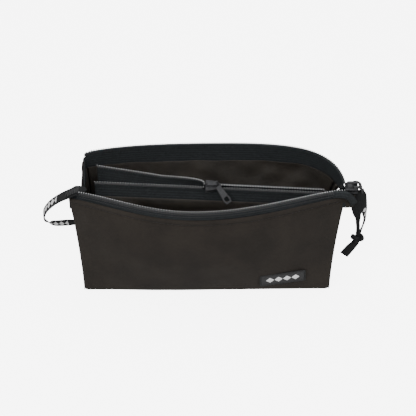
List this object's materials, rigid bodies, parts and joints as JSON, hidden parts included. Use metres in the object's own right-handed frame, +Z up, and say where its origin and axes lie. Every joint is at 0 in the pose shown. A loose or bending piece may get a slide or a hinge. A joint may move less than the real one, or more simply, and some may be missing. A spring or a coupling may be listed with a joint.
{
  "type": "zipped fabric pencil case",
  "caption": "Open-topped soft pencil case with a flat base, a curved main zip, a zipped inner divider pocket, a side ribbon loop and a knotted ribbon pull.",
  "frame": {"origin": "middle of the base panel, on the surface the case stands on", "axes": "+Z up, -Y towards the front panel with the patch, +X towards the main slider when the case is open"},
  "size_m": [0.2872, 0.1185, 0.1013],
  "materials": {
    "outer_fabric": "fine plain-weave polyester, dark brown-black",
    "lining_fabric": "thin smooth satin lining, near black",
    "zip_tape": "woven herringbone tape, cool black",
    "coil_teeth": "satin nylon coil",
    "hardware": "semi-gloss black enamel on zinc",
    "ribbon": "flat woven ribbon with a plain pale printed motif",
    "patch_rubber": "moulded soft rubber with raised rim",
    "base_stiffener": "thin plastic board"
  },
  "bodies": {
    "case": {"base_panel": "outer_fabric", "base_board": "base_stiffener", "base_lining": "lining_fabric", "left_gusset": "outer_fabric", "right_gusset": "outer_fabric", "left_gusset_lining": "lining_fabric", "right_gusset_lining": "lining_fabric", "side_loop": "ribbon", "zip_end_tab": "outer_fabric"},
    "front_wall": {"front_panel": "outer_fabric", "front_lining": "lining_fabric", "front_zip_tape": "zip_tape", "front_zip_teeth": "coil_teeth", "front_top_stop": "hardware", "front_patch": "patch_rubber"},
    "back_wall": {"back_panel": "outer_fabric", "back_lining": "lining_fabric", "back_zip_tape": "zip_tape", "back_zip_teeth": "coil_teeth", "back_top_stop": "hardware"},
    "pocket": {"pocket_front_wall": "lining_fabric", "pocket_back_wall": "lining_fabric", "pocket_front_tape": "zip_tape", "pocket_back_tape": "zip_tape", "pocket_front_teeth": "coil_teeth", "pocket_back_teeth": "coil_teeth", "pocket_bottom_binding": "lining_fabric", "pocket_zip_stop": "hardware"},
    "main_slider": {"main_slider": "hardware", "main_slider_bridge": "hardware"},
    "main_puller": {"main_puller": "hardware"},
    "ribbon_pull": {"pull_strand_front": "ribbon", "pull_strand_back": "ribbon", "pull_knot": "ribbon", "pull_tail_front": "ribbon", "pull_tail_back": "ribbon"},
    "inner_slider": {"inner_slider": "hardware", "inner_slider_bridge": "hardware"},
    "inner_puller": {"inner_puller": "hardware"}
  },
  "joints": [
    {"name": "main_zip", "type": "slide", "parent": "case", "child": "main_slider", "axis": [-1, 0, 0], "range_m": [0, 0.236]},
    {"name": "front_wall_fold", "type": "hinge", "parent": "case", "child": "front_wall", "pos_m": [0, -0.03, 0], "axis": [-1, 0, 0], "range_deg": [0, 18.5], "deforming": ["front_panel", "front_lining", "front_zip_tape", "front_zip_teeth"]},
    {"name": "back_wall_fold", "type": "hinge", "parent": "case", "child": "back_wall", "pos_m": [0, 0.03, 0], "axis": [1, 0, 0], "range_deg": [0, 44], "deforming": ["back_panel", "back_lining", "back_zip_tape", "back_zip_teeth", "left_gusset", "right_gusset", "left_gusset_lining", "right_gusset_lining"]},
    {"name": "pocket_swing", "type": "hinge", "parent": "case", "child": "pocket", "pos_m": [0, 0.002, 0.008], "axis": [1, 0, 0], "range_deg": [0, 10], "deforming": ["pocket_front_wall", "pocket_back_wall", "pocket_front_tape", "pocket_back_tape", "pocket_front_teeth", "pocket_back_teeth"]},
    {"name": "main_puller_flip", "type": "hinge", "parent": "main_slider", "child": "main_puller", "pos_m": [0.1258, 0, 0.0982], "axis": [0, -1, 0], "range_deg": [0, 100]},
    {"name": "ribbon_swing", "type": "hinge", "parent": "main_puller", "child": "ribbon_pull", "pos_m": [0.1319, 0, 0.0926], "axis": [-1, 0, 0], "range_deg": [0, 40], "deforming": ["pull_strand_front", "pull_strand_back", "pull_knot", "pull_tail_front", "pull_tail_back"]},
    {"name": "inner_zip", "type": "slide", "parent": "pocket", "child": "inner_slider", "axis": [0.9976, -0.0698, 0], "range_m": [-0.1, 0.085]},
    {"name": "inner_puller_swing", "type": "hinge", "parent": "inner_slider", "child": "inner_puller", "pos_m": [0.0088, 0.01321, 0.08764], "axis": [0, -0.5501, 0.8351], "range_deg": [-25, 110]}
  ],
  "couplings": [
    {"joint": "front_wall_fold", "follows": "main_zip", "rad_per_m": 1.3681},
    {"joint": "back_wall_fold", "follows": "main_zip", "rad_per_m": 3.254},
    {"joint": "pocket_swing", "follows": "main_zip", "rad_per_m": 0.73954},
    {"joint": "ribbon_swing", "follows": "main_zip", "rad_per_m": 2.9582}
  ]
}
